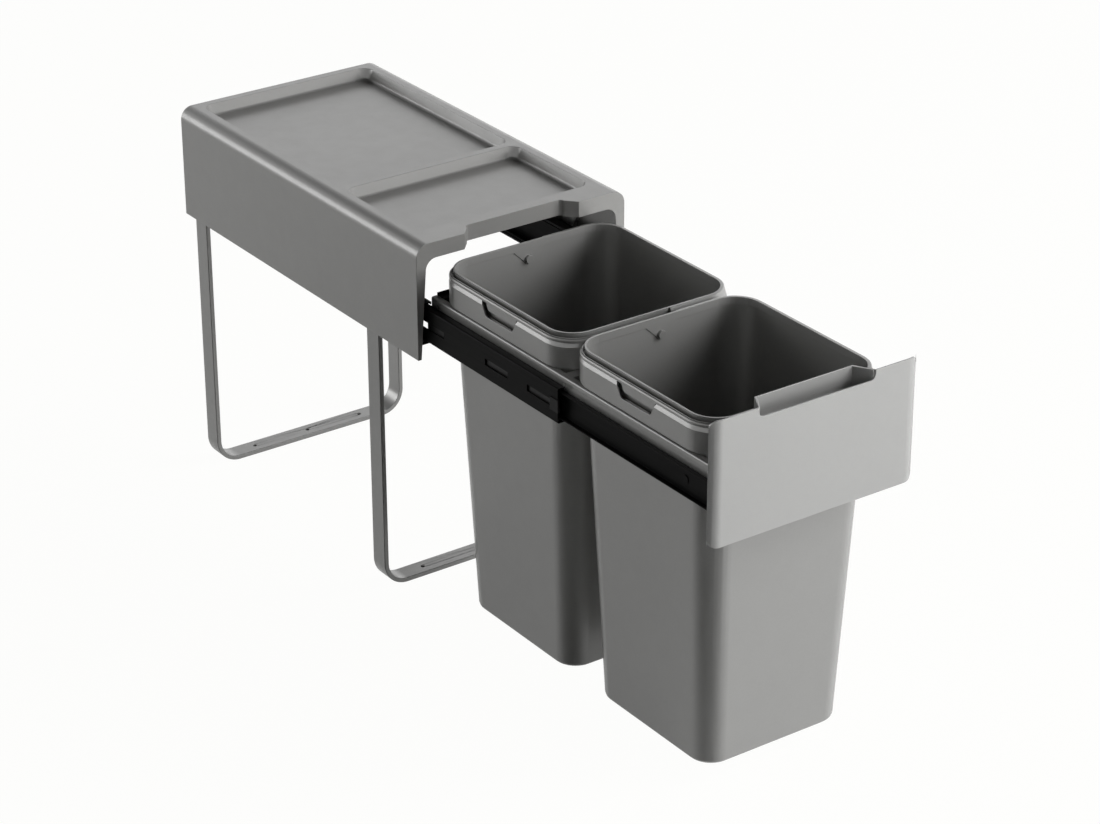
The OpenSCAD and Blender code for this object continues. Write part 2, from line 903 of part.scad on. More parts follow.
module left_side_rail() {
  color(rail_grey)
    on_side(-1) side_rail();
}

module right_side_rail() {
  color(rail_grey)
    side_rail();
}

// Tab at a bar's end that lies along the inside of a side rail
module bar_tab(mid_y) {
  for (side = [-1, 1])
    on_side(side)
      difference() {
        translate([frame_tab_half, mid_y - bar_tab_len / 2, frame_tab_z - bar_tab_h / 2])
          cube([carrier_t, bar_tab_len, bar_tab_h]);
        translate([frame_tab_half - 1, mid_y, frame_tab_z])
          rotate([0, 90, 0])
            cylinder(h = carrier_t + 2, d = frame_rivet_d + 2 * rivet_play);
      }
}

// Rear bar: an upright with a ledge for the rear bin's skirt
module rear_bar() {
  color(slide_black) {
    translate([-carrier_inner_half, carrier_back_y - carrier_t, ledge_z + rear_bar_rise - rear_bar_h])
      cube([2 * carrier_inner_half, carrier_t, rear_bar_h - rear_bar_rise - carrier_t]);
    translate([-ledge_half, carrier_back_y - carrier_t, ledge_foot_z - carrier_t])
      cube([2 * ledge_half, carrier_t, rear_bar_rise + 2 * carrier_t]);
    translate([-ledge_half, carrier_back_y - rear_ledge_w, ledge_foot_z])
      cube([2 * ledge_half, rear_ledge_w, carrier_t]);
    bar_tab(rear_tab_y);
  }
}

// Middle bar: a flat ledge between the bins, with its ends turned down
module middle_bar() {
  color(rail_grey) {
    translate([-ledge_half, middle_bar_y - middle_bar_w / 2, ledge_foot_z])
      cube([2 * ledge_half, middle_bar_w, carrier_t]);
    for (side = [-1, 1])
      on_side(side)
        translate([ledge_half - carrier_t, middle_bar_y - middle_bar_w / 2, ledge_foot_z - bar_bend_t])
          cube([frame_tab_half - ledge_half + 2 * carrier_t, middle_bar_w, bar_bend_t]);
    bar_tab(middle_bar_y);
  }
}

// Front bar: an upright that carries the panel, with a ledge for the front bin's skirt
module front_bar() {
  color(rail_grey)
    difference() {
      union() {
        translate([-carrier_inner_half, front_bar_y, ledge_z - front_bar_h])
          cube([2 * carrier_inner_half, carrier_t, front_bar_h - carrier_t]);
        translate([-ledge_half, front_bar_y, ledge_foot_z])
          cube([2 * ledge_half, front_ledge_w, carrier_t]);
        bar_tab(front_tab_y);
      }
      panel_screw_places(front_bar_y - 1)
        cylinder(h = carrier_t + 2, d = panel_screw_d + 0.5);
    }
}

// Rivets that hold the carrier frame together
module frame_rivets() {
  color(steel)
    for (side = [-1, 1])
      on_side(side)
        frame_rivet_places()
          translate([0, 0, 1 - carrier_t]) {
            translate([0, 0, -rivet_head_t])
              cylinder(h = rivet_head_t, d = frame_rivet_d + 3);
            cylinder(h = 2 * carrier_t, d = frame_rivet_d);
          }
}

// Front panel

// Plan of the panel's sheet: flat, with both sides swept back
module panel_plan() {
  outer_r = panel_side_r;
  translate([-panel_flat_half, panel_front_y])
    square([2 * panel_flat_half, panel_t]);
  for (side = [-1, 1])
    mirror([side < 0 ? 1 : 0, 0])
      translate([panel_flat_half, panel_front_y + outer_r])
        difference() {
          intersection() {
            circle(outer_r);
            polygon([
              [0, 0], [0, -2 * outer_r],
              [2 * outer_r * tan(panel_side_angle / 2), -2 * outer_r],
              [2 * outer_r * sin(panel_side_angle), -2 * outer_r * cos(panel_side_angle)]
            ]);
          }
          circle(outer_r - panel_t);
        }
}

// Plan of the handle pocket, with its walls moved in by inset
module pocket_plan(inset) {
  back_y = panel_front_y + pocket_d;
  polygon([
    [-pocket_w / 2 + inset, panel_front_y - 1], [pocket_w / 2 - inset, panel_front_y - 1],
    [pocket_back_w / 2 - inset, back_y - inset], [-pocket_back_w / 2 + inset, back_y - inset]
  ]);
}

// Side view of the pocket: upright back, round foot
module pocket_section(inset) {
  back_y = panel_front_y + pocket_d - inset;
  foot_z = panel_top_z - pocket_h + inset;
  r = pocket_d - inset - 1;
  translate([panel_front_y, foot_z + r])
    square([pocket_d - inset, pocket_h - r + 1]);
  translate([panel_front_y, foot_z])
    square([pocket_d - inset - r, pocket_h]);
  translate([back_y - r, foot_z + r])
    circle(r);
}

module pocket_form(inset, top_z) {
  intersection() {
    translate([0, 0, panel_foot_z])
      linear_extrude(top_z - panel_foot_z)
        pocket_plan(inset);
    along_x(-pocket_w, pocket_w)
      pocket_section(inset);
  }
}

// Opening in the panel above the pocket's front edge
module pocket_mouth_outline() {
  lip_z = panel_top_z - pocket_lip_drop;
  half_mouth = pocket_w / 2 - panel_t;
  half_lip = half_mouth - mouth_r;
  translate([-half_lip, lip_z])
    square([2 * half_lip, pocket_lip_drop + 1]);
  translate([-half_mouth, lip_z + mouth_r])
    square([2 * half_mouth, pocket_lip_drop + 1 - mouth_r]);
  for (s = [-1, 1])
    translate([s * half_lip, lip_z + mouth_r])
      circle(mouth_r);
}

// Places of the panel's screws, axis towards the back from the given Y
module panel_screw_places(y) {
  for (x = [-panel_screw_x, panel_screw_x], z = panel_screw_zs)
    translate([x, y, z])
      rotate([-90, 0, 0])
        children();
}

module front_panel() {
  color(panel_grey)
    difference() {
      union() {
        intersection() {
          translate([0, 0, panel_foot_z])
            linear_extrude(panel_h)
              panel_plan();
          along_y(panel_front_y - 1, panel_front_y + panel_side_r)
            translate([0, panel_foot_z + panel_h / 2])
              round_rect(panel_flat_half + panel_side_r * sin(panel_side_angle), panel_h / 2, panel_corner_r);
        }
        intersection() {
          pocket_form(0, panel_top_z);
          translate([-pocket_w, panel_front_y, panel_foot_z])
            cube([2 * pocket_w, pocket_d + 1, panel_h]);
        }
        panel_screw_places(panel_back_y - eps)
          cylinder(h = front_bar_y - panel_back_y + eps, d = boss_d);
      }
      intersection() {
        pocket_form(panel_t, panel_top_z + 1);
        translate([-pocket_w, panel_back_y, panel_foot_z])
          cube([2 * pocket_w, pocket_d + 1, panel_h + 2]);
      }
      along_y(panel_front_y - 1, panel_back_y + eps)
        pocket_mouth_outline();
      panel_screw_places(panel_back_y)
        cylinder(h = front_bar_y - panel_back_y + 1, d = panel_screw_d + 2 * rivet_play);
    }
}

module panel_screws() {
  color(steel)
    panel_screw_places(front_bar_y + carrier_t) {
      cylinder(h = screw_head_t, d = 2 * panel_screw_d);
      translate([0, 0, -carrier_t - panel_screw_reach])
        cylinder(h = carrier_t + panel_screw_reach, d = panel_screw_d);
    }
}

// Bins

// Thin slice of a bin's form: grow moves its sides out, z is the height above the floor
module bin_slice(z, grow) {
  inset = (bin_rim_z - z) * taper_rate;
  translate([0, 0, z])
    linear_extrude(eps)
      round_rect(bin_half_w - inset + grow, bin_half_d - inset + grow, bin_corner_r + grow - inset * 0.3, $fn = 40);
}

// Tapered form with rounded foot edges
module bin_form(foot_z, top_z, grow) {
  hull() {
    bin_slice(foot_z, grow - 5);
    bin_slice(foot_z + 0.7, grow - 2.5);
    bin_slice(foot_z + 2.5, grow - 0.7);
    bin_slice(foot_z + 5, grow);
    bin_slice(top_z - eps, grow);
  }
}

// Part of the wall round the pivots that keeps the band's face
module pivot_lugs() {
  along_y(-bin_half_d - 5, bin_half_d + 5)
    translate([pivot_x, pivot_z]) {
      circle(v_foot_r);
      polygon([
        [-v_top_half, pivot_drop - band_h + 1], [-v_foot_half, -2], [v_foot_half, -2],
        [v_top_half, pivot_drop - band_h + 1]
      ]);
    }
}

module skirt_outline() {
  polygon([
    [skirt_in, ledge_z + seat_gap], [foot_out, ledge_z + seat_gap], [foot_out, skirt_foot_z],
    [skirt_out, skirt_foot_z], [skirt_out, shelf_z - chamfer_h], [skirt_out - chamfer_w, shelf_z],
    [skirt_in, shelf_z]
  ]);
}

module shelf_outline() {
  translate([bin_wall / 2, shelf_z - shelf_t])
    square([skirt_in - bin_wall / 2 + eps, shelf_t]);
}

// Sill along the foot of the finger slot
module slot_sill() {
  half = slot_foot_w / 2 - slot_r;
  translate([-bin_half_w - skirt_in - eps, -half, shelf_z - slot_h - sill_t])
    cube([skirt_in - slot_in + eps, 2 * half, sill_t]);
}

// Rim on the side without a handle: flat band, long bevel, skirt
module plain_rim_outline() {
  polygon([
    [skirt_in, ledge_z + seat_gap], [foot_out, ledge_z + seat_gap], [foot_out, skirt_foot_z],
    [skirt_out, skirt_foot_z], [skirt_out, bin_rim_z - bevel_h], [skirt_out - bevel_w, bin_rim_z - 0.6],
    [skirt_out - bevel_w - 0.6, bin_rim_z], [bin_wall / 2, bin_rim_z], [bin_wall / 2, bin_rim_z - flange_t],
    [skirt_out - bevel_w - 1, bin_rim_z - flange_t], [skirt_in, bin_rim_z - bevel_h]
  ]);
}

module bin_rim() {
  hx = bin_half_w;
  hy = bin_half_d;
  r = bin_corner_r;
  for (sy = [-1, 1]) {
    rim_corner(hx, hy, r, -1, sy) skirt_outline();
    rim_corner(hx, hy, r, -1, sy) shelf_outline();
    rim_corner(hx, hy, r, 1, sy) plain_rim_outline();
  }
  rim_side(hx, hy, r, -1) skirt_outline();
  rim_side(hx, hy, r, -1) shelf_outline();
  rim_side(hx, hy, r, 1) plain_rim_outline();
  rim_ends(hy, r - hx, gap_right_x) skirt_outline();
  rim_ends(hy, r - hx, gap_left_x) shelf_outline();
  rim_ends(hy, gap_right_x, hx - r) plain_rim_outline();
  slot_sill();
}

// Outline with a level foot and leaning sides, round at the foot's corners
module cup_outline(foot_half, top_half, z0, z1, r) {
  lean = atan((top_half - foot_half) / (z1 - z0));
  centre = foot_half + r * tan(lean) - r / cos(lean);
  corner = [
    for (i = [0 : 4])
      let (a = (90 - lean) * i / 4 - 90)
        [centre + r * cos(a), z0 + r + r * sin(a)]
  ];
  mirrored = [for (i = [4 : -1 : 0]) [-corner[i][0], corner[i][1]]];
  polygon(concat([[top_half, z1], [-top_half, z1]], mirrored, corner));
}

// Finger slot through the left skirt and the shelf behind it
module finger_slot() {
  lean = (slot_w - slot_foot_w) / 2 / slot_h;
  translate([-bin_half_w - skirt_out - 1, 0, 0])
    along_x(0, skirt_out + 1 - slot_in)
      cup_outline(slot_foot_w / 2, slot_w / 2 + lean, shelf_z - slot_h, shelf_z + 1, slot_r);
}

module bin() {
  difference() {
    union() {
      bin_form(bin_foot_z, bin_rim_z, bin_wall);
      bin_rim();
    }
    difference() {
      bin_form(bin_foot_z + bin_wall, band_foot_z, band_step);
      pivot_lugs();
    }
    bin_form(bin_foot_z + bin_wall, bin_rim_z + 1, 0);
    for (sy = [-1, 1])
      translate([pivot_x, sy * bin_half_d, pivot_z])
        rotate([90, 0, 0])
          cylinder(h = 4 * bin_wall, d = pin_d + 2 * pin_play, center = true);
    finger_slot();
  }
}

module rear_bin() {
  color(bin_grey)
    translate([0, rear_bin_y, 0])
      bin();
}

module front_bin() {
  color(bin_grey)
    translate([0, front_bin_y, 0])
      bin();
}

// Bin handles

// Ring with a stepped top: a raised inner edge, a groove, then a slope
module ring_outline() {
  ring_out = ring_in + ring_w;
  groove_in = ring_in + ring_step_w;
  groove_out = groove_in + ring_groove_w;
  polygon([
    [ring_in, ring_foot_z], [ring_out, ring_foot_z], [ring_out, ring_top_z - ring_step_h - ring_slope],
    [groove_out, ring_top_z - ring_step_h], [groove_out, ring_groove_z], [groove_in, ring_groove_z],
    [groove_in, ring_top_z], [ring_in, ring_top_z]
  ]);
}

// Arm from the ring's end down to the pivot
module arm_outline() {
  end_x = gap_left_x;
  translate([pivot_x, pivot_z])
    circle(arm_end_r);
  polygon([
    [end_x - 10, ring_foot_z + 0.2], [end_x, ring_foot_z + 0.2],
    [pivot_x - arm_end_r, pivot_z + 1], [pivot_x + arm_end_r * 0.8, pivot_z + arm_end_r * 0.6],
    [end_x + 6, arm_top_z], [end_x - 10, arm_top_z]
  ]);
}

// Grip tab that hangs in the finger slot, towards its front end
module grip_tab() {
  lean = (slot_w - slot_foot_w) / 2 / slot_h;
  tab_play = (tab_rear_play + tab_front_play) / 2;
  foot_half = slot_foot_w / 2 - tab_play + lean * tab_rise;
  top_half = slot_w / 2 - tab_play;
  translate([-bin_half_w - tab_in - tab_t, tab_front_play - tab_play, 0])
    along_x(0, tab_t)
      cup_outline(foot_half, top_half, tab_foot_z, ring_foot_z + tab_t, tab_r);
}

module bin_handle() {
  hx = bin_half_w;
  hy = bin_half_d;
  r = bin_corner_r;
  for (sy = [-1, 1])
    rim_corner(hx, hy, r, -1, sy) ring_outline();
  rim_side(hx, hy, r, -1) ring_outline();
  rim_ends(hy, r - hx, gap_left_x) ring_outline();
  for (sy = [-1, 1])
    mirror([0, sy < 0 ? 1 : 0, 0]) {
      along_y(hy + arm_in, hy + arm_in + arm_t)
        arm_outline();
      along_y(hy - pin_proud, hy + arm_in + eps)
        translate([pivot_x, pivot_z])
          circle(d = pin_d);
    }
  grip_tab();
}

module rear_bin_handle() {
  color(bin_grey)
    translate([0, rear_bin_y, 0])
      bin_handle();
}

module front_bin_handle() {
  color(bin_grey)
    translate([0, front_bin_y, 0])
      bin_handle();
}

canopy_cover();
rear_leg();
front_leg();
left_cabinet_member();
right_cabinet_member();
left_middle_member();
right_middle_member();
left_drawer_member();
right_drawer_member();
left_outer_ball_cage();
right_outer_ball_cage();
left_inner_ball_cage();
right_inner_ball_cage();
outer_balls();
inner_balls();
left_middle_stop();
right_middle_stop();
left_rear_buffer();
right_rear_buffer();
leg_rivets();
carrier_rivets();
frame_rivets();
left_side_rail();
right_side_rail();
rear_bar();
middle_bar();
front_bar();
front_panel();
panel_screws();
rear_bin();
front_bin();
rear_bin_handle();
front_bin_handle();
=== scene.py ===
"""Looks of the pull-out bin frame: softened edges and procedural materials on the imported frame."""
import json
import math

import bmesh
import bpy
from mathutils import Matrix, Vector


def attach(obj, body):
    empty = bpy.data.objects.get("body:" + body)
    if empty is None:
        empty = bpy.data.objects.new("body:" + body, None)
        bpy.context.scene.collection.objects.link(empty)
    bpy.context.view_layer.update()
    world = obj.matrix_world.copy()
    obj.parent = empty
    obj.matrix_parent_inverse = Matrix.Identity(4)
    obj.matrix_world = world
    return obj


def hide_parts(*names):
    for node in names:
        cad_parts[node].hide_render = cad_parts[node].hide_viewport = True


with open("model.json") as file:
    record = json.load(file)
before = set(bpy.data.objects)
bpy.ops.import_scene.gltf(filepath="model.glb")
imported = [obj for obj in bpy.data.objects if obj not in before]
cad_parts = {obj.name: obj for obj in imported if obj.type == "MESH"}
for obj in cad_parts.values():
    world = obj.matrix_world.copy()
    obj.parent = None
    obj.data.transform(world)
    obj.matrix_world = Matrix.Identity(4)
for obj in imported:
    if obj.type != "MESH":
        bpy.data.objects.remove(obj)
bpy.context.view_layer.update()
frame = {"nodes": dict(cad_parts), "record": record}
record = frame["record"]
slot_of = {part["node"]: part["material_slot"] for part in record["subparts"]}
body_of = {node: body for body, nodes in record["behaviour"]["bodies"].items() for node in nodes}


# Materials

# The clear skin over plastic and paint
COAT_IOR = 1.7
COAT_ROUGHNESS = 0.24


class Tree:
    """A material's node tree, with short calls to add and join nodes."""

    def __init__(self, name):
        self.material = bpy.data.materials.new(name)
        self.material.use_nodes = True
        self.nodes = self.material.node_tree.nodes
        self.links = self.material.node_tree.links
        self.nodes.clear()
        self.output = self.nodes.new("ShaderNodeOutputMaterial")
        self.shader = self.nodes.new("ShaderNodeBsdfPrincipled")
        self.links.new(self.shader.outputs["BSDF"], self.output.inputs["Surface"])
        self.place = self.nodes.new("ShaderNodeTexCoord").outputs["Object"]

    def stretched(self, x, y, z):
        mapping = self.nodes.new("ShaderNodeMapping")
        mapping.inputs["Scale"].default_value = (x, y, z)
        self.links.new(self.place, mapping.inputs["Vector"])
        return mapping.outputs["Vector"]

    def noise(self, scale, detail=2.0, rough=0.5, place=None):
        node = self.nodes.new("ShaderNodeTexNoise")
        node.inputs["Scale"].default_value = scale
        node.inputs["Detail"].default_value = detail
        node.inputs["Roughness"].default_value = rough
        self.links.new(place or self.place, node.inputs["Vector"])
        return node.outputs["Fac"]

    def cells(self, scale):
        node = self.nodes.new("ShaderNodeTexVoronoi")
        node.inputs["Scale"].default_value = scale
        self.links.new(self.place, node.inputs["Vector"])
        return node.outputs["Distance"]

    def wear_and_highlight(self):
        node = self.nodes.new("ShaderNodeAttribute")
        node.attribute_name = "wear_and_highlight"
        return node.outputs["Fac"]

    def math(self, operation, a, b):
        node = self.nodes.new("ShaderNodeMath")
        node.operation = operation
        for socket, value in zip(node.inputs, (a, b)):
            if isinstance(value, (int, float)):
                socket.default_value = value
            else:
                self.links.new(value, socket)
        return node.outputs["Value"]

    def spread(self, value, low, high, start=0.3, end=0.7):
        node = self.nodes.new("ShaderNodeMapRange")
        for name, number in (("From Min", start), ("From Max", end), ("To Min", low), ("To Max", high)):
            node.inputs[name].default_value = number
        self.links.new(value, node.inputs["Value"])
        return node.outputs["Result"]

    def mix(self, factor, a, b):
        node = self.nodes.new("ShaderNodeMix")
        node.data_type = "RGBA"
        self.links.new(factor, node.inputs["Factor"])
        for socket, value in ((node.inputs["A"], a), (node.inputs["B"], b)):
            if isinstance(value, tuple):
                socket.default_value = (*value, 1.0)
            else:
                self.links.new(value, socket)
        return node.outputs["Result"]

    def bump(self, height, strength, distance):
        node = self.nodes.new("ShaderNodeBump")
        node.inputs["Strength"].default_value = strength
        node.inputs["Distance"].default_value = distance
        self.links.new(height, node.inputs["Height"])
        return node.outputs["Normal"]

    def finish(self, colour, roughness, normal, metallic=0.0, specular=0.5, coat=0.0):
        ports = self.shader.inputs
        self.links.new(colour, ports["Base Color"])
        self.links.new(roughness, ports["Roughness"])
        self.links.new(normal, ports["Normal"])
        ports["Metallic"].default_value = metallic
        ports["Specular IOR Level"].default_value = specular
        ports["Coat Weight"].default_value = coat
        ports["Coat Roughness"].default_value = COAT_ROUGHNESS
        ports["Coat IOR"].default_value = COAT_IOR
        return self.material


def scaled(colour, factor):
    return tuple(min(1.0, channel * factor) for channel in colour)


def moulded_plastic(name, colour, roughness, grain=0.12, worn_and_highlit=1.35, coat=1.0, metallic=0.35):
    """Matte moulded plastic: fine spark-eroded grain, faint clouding, edges lighter, partly rubbed and
    partly a painted highlight.
    """
    tree = Tree(name)
    clouds = tree.spread(tree.noise(9.0, 4.0, 0.55), 0.0, 1.0)
    fine = tree.spread(tree.noise(420.0, 3.0, 0.6), 0.0, 1.0)
    base = tree.mix(clouds, scaled(colour, 0.985), scaled(colour, 1.015))
    base = tree.mix(tree.math("MULTIPLY", fine, 0.16), base, scaled(colour, 0.84))
    # Lighter edges: partly rubbed plastic, partly a painted highlight along the rounded edges
    rub_and_highlight = tree.math("MULTIPLY", tree.wear_and_highlight(), tree.spread(tree.noise(60.0, 3.0), 0.25, 0.85))
    base = tree.mix(rub_and_highlight, base, scaled(colour, worn_and_highlit))
    rough = tree.math("ADD", tree.spread(tree.noise(55.0, 3.0), roughness - 0.035, roughness + 0.035),
                      tree.math("MULTIPLY", rub_and_highlight, -0.08))
    grains = tree.cells(1700.0)
    normal = tree.bump(grains, grain, 0.00012)
    return tree.finish(base, rough, normal, metallic, 0.5 if coat else 0.15, coat)


def powder_coat(name, colour, roughness, peel=0.10, metallic=0.35, worn_and_highlit=1.5, coat=1.0):
    """Powder-coated sheet steel: soft orange peel, fine speckle, lighter along edges, partly thin rubbed
    coat and partly a painted highlight.
    """
    tree = Tree(name)
    clouds = tree.spread(tree.noise(7.0, 3.0, 0.5), 0.0, 1.0)
    base = tree.mix(clouds, scaled(colour, 0.988), scaled(colour, 1.012))
    speck = tree.spread(tree.noise(1400.0, 2.0), 0.0, 0.14, 0.52, 0.62)
    base = tree.mix(speck, base, scaled(colour, 0.72))
    # Lighter edges: partly rubbed coat, partly a painted highlight along the rounded edges
    rub_and_highlight = tree.math("MULTIPLY", tree.wear_and_highlight(), tree.spread(tree.noise(45.0, 4.0), 0.35, 0.95))
    base = tree.mix(rub_and_highlight, base, scaled(colour, worn_and_highlit))
    rough = tree.spread(tree.noise(130.0, 3.0), roughness - 0.04, roughness + 0.04)
    normal = tree.bump(tree.noise(520.0, 2.0), peel, 0.00018)
    return tree.finish(base, rough, normal, metallic, 0.5, coat)


def black_steel(name, colour):
    """Cold-rolled slide steel with a thin black coat: lengthwise drawing marks, edges grey, partly rubbed
    and partly a painted highlight.
    """
    tree = Tree(name)
    drawn = tree.noise(900.0, 2.0, 0.5, tree.stretched(1.0, 0.02, 1.0))
    clouds = tree.spread(tree.noise(16.0, 4.0, 0.6), 0.0, 1.0)
    base = tree.mix(clouds, scaled(colour, 0.93), scaled(colour, 1.07))
    base = tree.mix(tree.spread(drawn, 0.0, 0.25, 0.5, 0.72), base, scaled(colour, 1.6))
    # Grey edges: partly rubbed coat, partly a painted highlight along the rounded edges
    rub_and_highlight = tree.math("MULTIPLY", tree.wear_and_highlight(), tree.spread(tree.noise(80.0, 3.0), 0.2, 0.8))
    base = tree.mix(rub_and_highlight, base, (0.20, 0.20, 0.195))
    rough = tree.spread(drawn, 0.34, 0.50)
    normal = tree.bump(drawn, 0.10, 0.0001)
    return tree.finish(base, rough, normal, 0.0, 0.06)


def bare_steel(name, colour, roughness, drawn_along=True):
    """Zinc-plated or polished steel: crystalline clouds and faint drawing marks."""
    tree = Tree(name)
    spangle = tree.spread(tree.cells(260.0), 0.0, 1.0, 0.1, 0.8)
    place = tree.stretched(1.0, 0.03, 1.0) if drawn_along else tree.place
    drawn = tree.noise(700.0, 2.0, 0.5, place)
    base = tree.mix(spangle, scaled(colour, 0.86), scaled(colour, 1.06))
    rough = tree.spread(drawn, roughness - 0.06, roughness + 0.08)
    normal = tree.bump(drawn, 0.08, 0.00008)
    return tree.finish(base, rough, normal, 1.0, 0.5)


def soft_rubber(name, colour):
    """Dull black rubber with a dusty bloom."""
    tree = Tree(name)
    bloom = tree.spread(tree.noise(90.0, 4.0, 0.6), 0.0, 1.0)
    base = tree.mix(bloom, colour, scaled(colour, 1.9))
    rough = tree.spread(tree.noise(200.0, 2.0), 0.72, 0.86)
    normal = tree.bump(tree.cells(900.0), 0.15, 0.00015)
    return tree.finish(base, rough, normal, 0.0, 0.3)


MATERIALS = {
    "cover_plastic": moulded_plastic("cover_plastic", (0.280, 0.278, 0.270), 0.46),
    "bin_plastic": moulded_plastic("bin_plastic", (0.308, 0.307, 0.300), 0.44),
    "handle_plastic": moulded_plastic("handle_plastic", (0.308, 0.307, 0.300), 0.43),
    "stop_plastic": moulded_plastic("stop_plastic", (0.016, 0.016, 0.016), 0.50, worn_and_highlit=2.0,
                                    coat=0.0, metallic=0.0),
    "leg_paint": powder_coat("leg_paint", (0.250, 0.249, 0.243), 0.35, peel=0.03, metallic=0.65),
    "carrier_paint": powder_coat("carrier_paint", (0.280, 0.279, 0.272), 0.42),
    "panel_paint": powder_coat("panel_paint", (0.392, 0.392, 0.386), 0.42),
    "slide_steel": black_steel("slide_steel", (0.006, 0.006, 0.006)),
    "cage_steel": bare_steel("cage_steel", (0.04, 0.04, 0.04), 0.42),
    "ball_steel": bare_steel("ball_steel", (0.75, 0.75, 0.75), 0.14, False),
    "fastener_steel": bare_steel("fastener_steel", (0.58, 0.58, 0.57), 0.36, False),
    "buffer_rubber": soft_rubber("buffer_rubber", (0.018, 0.018, 0.018)),
}


# Pieces

def show_in(obj, slot):
    """The piece takes its finish from that slot."""
    obj.data.materials.clear()
    obj.data.materials.append(MATERIALS[slot])


def flat_regions(bm, angle=0.25):
    """Groups of faces that lie in one plane, each as a list of faces."""
    limit = math.radians(angle)
    bm.faces.ensure_lookup_table()
    seen = set()
    regions = []
    for start in bm.faces:
        if start in seen:
            continue
        seen.add(start)
        region, open_ends = [], [start]
        while open_ends:
            face = open_ends.pop()
            region.append(face)
            for edge in face.edges:
                if len(edge.link_faces) != 2:
                    continue
                for other in edge.link_faces:
                    if other not in seen and other.normal.angle(start.normal, 3.0) < limit:
                        seen.add(other)
                        open_ends.append(other)
        regions.append(region)
    return regions


def is_plain(region, least_width=0.003):
    """True where one face can stand for a flat region: no thin strip, one border and no hole."""
    inside = set(region)
    border = [e for f in region for e in f.edges if sum(other in inside for other in e.link_faces) == 1]
    if 2 * sum(f.calc_area() for f in region) < least_width * sum(e.calc_length() for e in border):
        return False
    meets = {}
    for edge in border:
        for vert in edge.verts:
            meets.setdefault(vert, []).append(edge)
    if not border or any(len(edges) != 2 for edges in meets.values()):
        return False
    first = border[0]
    vert, edge, steps = first.verts[1], first, 1
    while vert is not first.verts[0]:
        edge = next(e for e in meets[vert] if e is not edge)
        vert = edge.other_vert(vert)
        steps += 1
    return steps == len(border)


def clean_copy(node):
    """A bmesh of the node's mesh with its seams closed and its plain flat faces joined up."""
    bm = bmesh.new()
    bm.from_mesh(frame["nodes"][node].data)
    bmesh.ops.remove_doubles(bm, verts=bm.verts, dist=1e-6)
    for region in flat_regions(bm):
        if len(region) > 1 and is_plain(region):
            bmesh.ops.dissolve_faces(bm, faces=region, use_verts=False)
    return bm


# The cover's two trays, each with its half width, front edge and back edge
TRAYS = ((0.1045, -0.2593, 0.0177), (0.1045, -0.4013, -0.2688))
TRAY_RIM_Z = 0.414
TRAY_FLOOR_Z = 0.402
TRAY_CORNER = 0.012
# How far a tray wall's foot moves in for each unit of depth
TRAY_LEAN = math.tan(math.radians(18))


def lean_tray_walls(bm, near=1e-5):
    """Slopes the trays' upright walls: each foot moves in, square to its wall or to its corner's centre."""
    for half_width, front, back in TRAYS:
        for vert in bm.verts:
            x, y, z = vert.co
            if not (TRAY_FLOOR_Z - near < z < TRAY_RIM_Z - near and abs(x) < half_width + near
                    and front - near < y < back + near):
                continue
            core = Vector((max(TRAY_CORNER - half_width, min(half_width - TRAY_CORNER, x)),
                           max(front + TRAY_CORNER, min(back - TRAY_CORNER, y)), z))
            inward = core - vert.co
            if inward.length > near:
                vert.co += inward.normalized() * (TRAY_RIM_Z - z) * TRAY_LEAN


def shade(mesh, worn_and_highlit, sharp_angle=19, wide=0.006):
    """Smooth shading: wide flat faces stay flat, and only real edges, never a bevel's, stay sharp."""
    bm = bmesh.new()
    bm.from_mesh(mesh)
    weight = {}
    for region in flat_regions(bm):
        area = sum(f.calc_area() for f in region)
        inside = set(region)
        border = sum(e.calc_length() for f in region for e in f.edges
                     if sum(other in inside for other in e.link_faces) == 1)
        for face in region:
            weight[face.index] = area if 2 * area >= wide * border else 0.0
    limit = math.radians(sharp_angle)
    normals = [Vector((0, 0, 1))] * len(mesh.loops)
    for vert in bm.verts:
        left = set(vert.link_faces)
        while left:
            fan, open_ends = [], [left.pop()]
            while open_ends:
                face = open_ends.pop()
                fan.append(face)
                for edge in face.edges:
                    if vert not in edge.verts or len(edge.link_faces) != 2:
                        continue
                    soft = any(f.index in worn_and_highlit for f in edge.link_faces)
                    if soft or edge.calc_face_angle(3.0) < limit:
                        for other in edge.link_faces:
                            if other in left:
                                left.discard(other)
                                open_ends.append(other)
            total = sum((f.normal * weight[f.index] for f in fan), Vector())
            if total.length == 0:
                total = sum((loop.face.normal * loop.calc_angle()
                             for loop in vert.link_loops if loop.face in fan), Vector())
            total = total.normalized() if total.length > 0 else fan[0].normal
            for face in fan:
                for loop in face.loops:
                    if loop.vert is vert:
                        normals[loop.index] = total.copy()
    bm.free()
    for polygon in mesh.polygons:
        polygon.use_smooth = True
    mesh.normals_split_custom_set([tuple(n) for n in normals])


